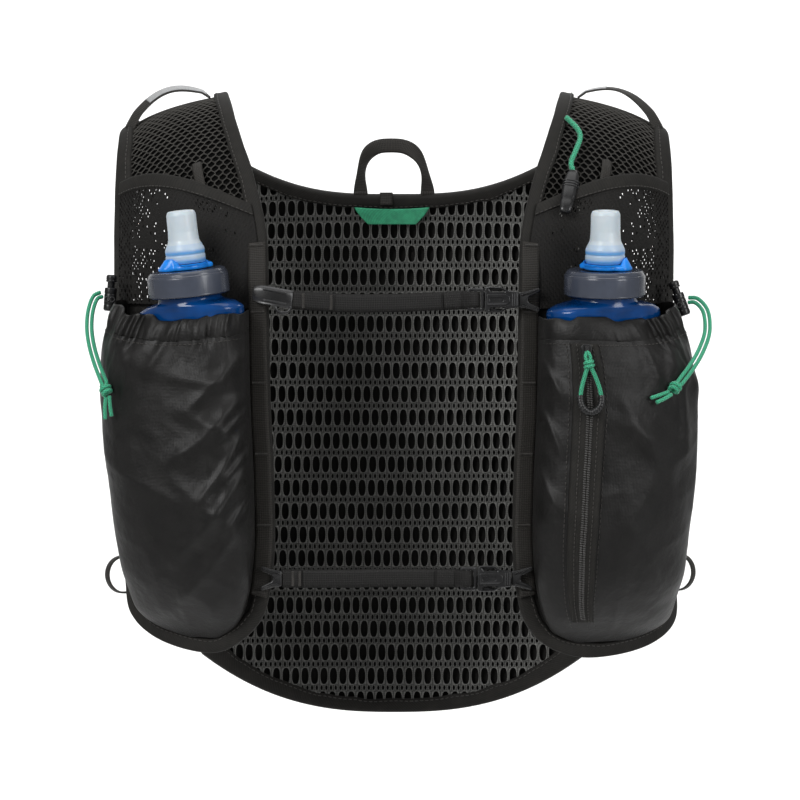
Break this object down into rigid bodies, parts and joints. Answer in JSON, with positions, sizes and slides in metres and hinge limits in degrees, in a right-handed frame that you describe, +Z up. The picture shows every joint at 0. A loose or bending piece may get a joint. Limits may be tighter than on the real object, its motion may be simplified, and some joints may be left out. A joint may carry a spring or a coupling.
{
  "type": "running hydration vest",
  "caption": "Hydration vest of mesh cloth with soft flasks in gathered chest pockets, joined by sternum straps with side-release buckles, held in its worn shape.",
  "frame": {"origin": "crown of the shoulder line on the middle plane, where the vest sits on its wearer", "axes": "+Z up, the chest faces -Y, the wearer's left is +X"},
  "size_m": [0.3606, 0.2458, 0.3826],
  "materials": {
    "spacer_mesh": "knitted spacer mesh, matt",
    "black_net": "open knitted net, matt",
    "stretch_mesh": "fine stretch mesh, matt",
    "ripstop": "woven nylon with a slight sheen",
    "binding": "folded binding tape, matt",
    "webbing": "woven webbing, matt",
    "acetal": "moulded acetal, satin",
    "green_cord": "braided cord",
    "green_tab": "bonded woven tab",
    "flask_blue": "tinted soft polyurethane, glossy",
    "cap_grey": "tinted hard plastic, glossy",
    "lock_blue": "moulded plastic, glossy",
    "silicone": "clear silicone, satin"
  },
  "bodies": {
    "vest": {"back_mesh": "spacer_mesh", "back_shell": "stretch_mesh", "hem_binding": "binding", "neck_binding": "binding", "hang_loop": "webbing", "size_tab": "green_tab", "shoulder_net_left": "black_net", "front_panel_left": "stretch_mesh", "panel_binding_left": "binding", "flask_pocket_left": "ripstop", "pocket_hem_left": "ripstop", "upper_pocket_left": "stretch_mesh", "upper_hem_left": "binding", "webbing_rail_left": "webbing", "tube_tab_left": "webbing", "side_panel_left": "stretch_mesh", "side_loop_left": "webbing", "pole_loop_left": "webbing", "flask_left": "flask_blue", "flask_cap_left": "cap_grey", "bite_valve_left": "silicone", "cord_lock_left": "acetal", "drawcord_left": "green_cord", "shoulder_net_right": "black_net", "front_panel_right": "stretch_mesh", "panel_binding_right": "binding", "flask_pocket_right": "ripstop", "pocket_hem_right": "ripstop", "upper_pocket_right": "stretch_mesh", "upper_hem_right": "binding", "webbing_rail_right": "webbing", "tube_tab_right": "webbing", "side_panel_right": "stretch_mesh", "side_loop_right": "webbing", "pole_loop_right": "webbing", "flask_right": "flask_blue", "flask_cap_right": "cap_grey", "bite_valve_right": "silicone", "cord_lock_right": "acetal", "drawcord_right": "green_cord", "sternum_strap_upper": "webbing", "buckle_plug_upper": "acetal", "buckle_socket_upper": "acetal", "hook_right_upper": "acetal", "sternum_strap_lower": "webbing", "buckle_plug_lower": "acetal", "buckle_socket_lower": "acetal", "hook_right_lower": "acetal", "clip_left_upper": "acetal", "hook_left_lower": "acetal", "zip_tape": "binding", "zip_slider": "acetal", "zip_pull_cord": "green_cord", "zip_pull_grip": "acetal", "whistle_cord": "green_cord", "whistle": "acetal"},
    "valve_lock_left": {"valve_lock_left": "lock_blue"},
    "valve_lock_right": {"valve_lock_right": "lock_blue"},
    "lock_button_left": {"lock_button_left": "acetal"},
    "lock_button_right": {"lock_button_right": "acetal"}
  },
  "joints": [
    {"name": "lock_turn_left", "type": "hinge", "parent": "vest", "child": "valve_lock_left", "pos_m": [-0.1155, -0.11318, -0.12695], "axis": [-0.1001, -0.1095, 0.9889], "range_deg": [0, 90]},
    {"name": "lock_turn_right", "type": "hinge", "parent": "vest", "child": "valve_lock_right", "pos_m": [0.1195, -0.11176, -0.12694], "axis": [-0.004, 0.1483, -0.9889], "range_deg": [0, 90]},
    {"name": "button_press_left", "type": "slide", "parent": "vest", "child": "lock_button_left", "axis": [-0.0698, 0, -0.9976], "range_m": [0, 0.003], "stiffness_N_per_m": 400},
    {"name": "button_press_right", "type": "slide", "parent": "vest", "child": "lock_button_right", "axis": [0.342, 0, -0.9397], "range_m": [0, 0.003], "stiffness_N_per_m": 400}
  ]
}
